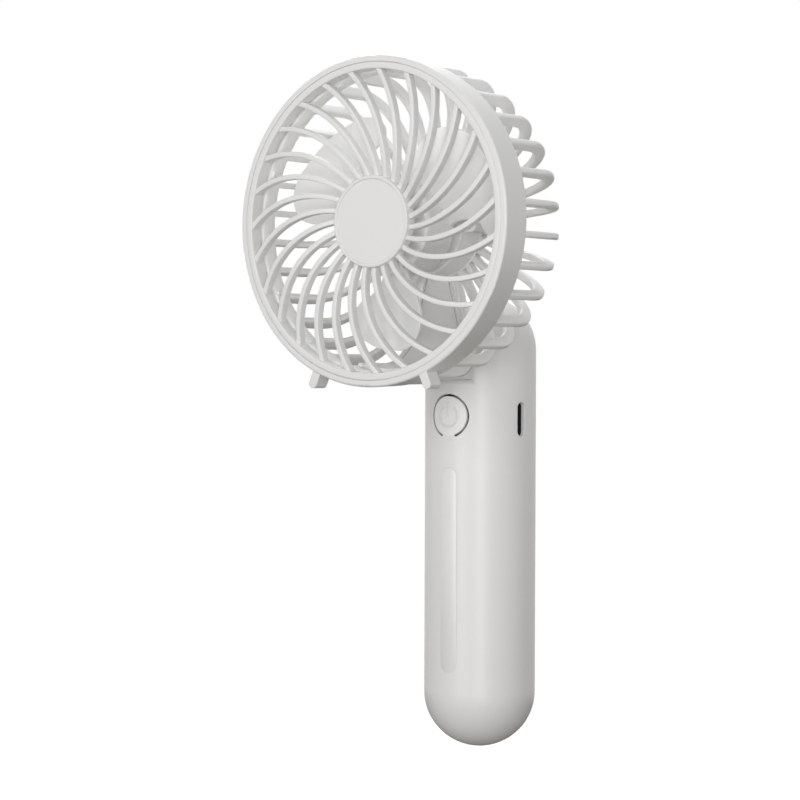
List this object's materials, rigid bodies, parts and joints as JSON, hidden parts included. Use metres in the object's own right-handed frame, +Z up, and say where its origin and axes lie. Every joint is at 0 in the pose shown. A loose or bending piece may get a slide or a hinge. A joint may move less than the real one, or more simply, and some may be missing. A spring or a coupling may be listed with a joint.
{
  "type": "portable fan",
  "caption": "Battery hand fan: a three-bladed impeller in a round guard of bowed swept ribs, carried on an upright round handle with a push button and a USB-C charging socket.",
  "frame": {"origin": "centre of the grip: on the handle's axis, half-way up the handle", "axes": "+Z up along the handle, -Y the way the fan blows, +X to the right seen from the front"},
  "size_m": [0.096, 0.0746, 0.2063],
  "materials": {
    "shell_white": "satin moulded ABS",
    "grille_white": "satin moulded ABS",
    "impeller_white": "satin moulded ABS",
    "strip_white": "semi-gloss inlay",
    "steel": "drawn or turned steel",
    "laminated_steel": "stacked laminations",
    "magnet": "sintered ferrite",
    "bronze": "sintered bronze",
    "copper": "enamelled copper wire",
    "nickel_strip": "nickel-plated strip",
    "black_nylon": "moulded nylon",
    "board_green": "solder-masked laminate",
    "insulation": "fish-paper ring",
    "cell_sleeve": "shrink sleeve over a steel can",
    "foam": "closed-cell foam",
    "lead_red": "silicone insulation over copper",
    "lead_black": "silicone insulation over copper",
    "ceramic": "ceramic"
  },
  "bodies": {
    "fan_body": {"front_ring": "shell_white", "front_grille": "grille_white", "hub_disc": "strip_white", "rear_basket": "shell_white", "wire_cover": "grille_white", "motor_retainer": "grille_white", "retainer_screws": "steel", "motor_can": "steel", "motor_magnets": "magnet", "front_bush": "bronze", "motor_end_cap": "black_nylon", "motor_brushes": "copper", "handle_shell": "shell_white", "back_cover": "shell_white", "handle_strip": "strip_white", "switch_body": "black_nylon", "main_board": "board_green", "board_screws": "steel", "controller_chip": "black_nylon", "choke": "black_nylon", "capacitors": "ceramic", "socket_shell": "nickel_strip", "socket_tongue": "black_nylon", "neck_plate": "steel", "neck_screws": "steel", "battery_cell": "cell_sleeve", "battery_rings": "insulation", "battery_tabs": "nickel_strip", "battery_pad": "foam", "battery_leads": "lead_red", "motor_leads": "lead_black"},
    "impeller": {"impeller": "impeller_white", "motor_shaft": "steel", "armature_core": "laminated_steel", "armature_windings": "copper", "commutator": "copper"},
    "button": {"power_button": "grille_white"},
    "plunger": {"switch_plunger": "black_nylon"}
  },
  "joints": [
    {"name": "impeller_spin", "type": "hinge", "parent": "fan_body", "child": "impeller", "pos_m": [0, -0.04, 0.089], "axis": [0, 1, 0], "continuous": true},
    {"name": "button_press", "type": "hinge", "parent": "fan_body", "child": "button", "pos_m": [0, -0.017, 0.0253], "axis": [-1, 0, 0], "range_deg": [0, 3.3], "stiffness_Nm_per_rad": 0.005},
    {"name": "plunger_slide", "type": "slide", "parent": "fan_body", "child": "plunger", "axis": [0, 1, 0], "range_m": [0, 0.0004], "stiffness_N_per_m": 200}
  ],
  "couplings": [
    {"joint": "button_press", "follows": "plunger_slide", "rad_per_m": 143.88}
  ]
}
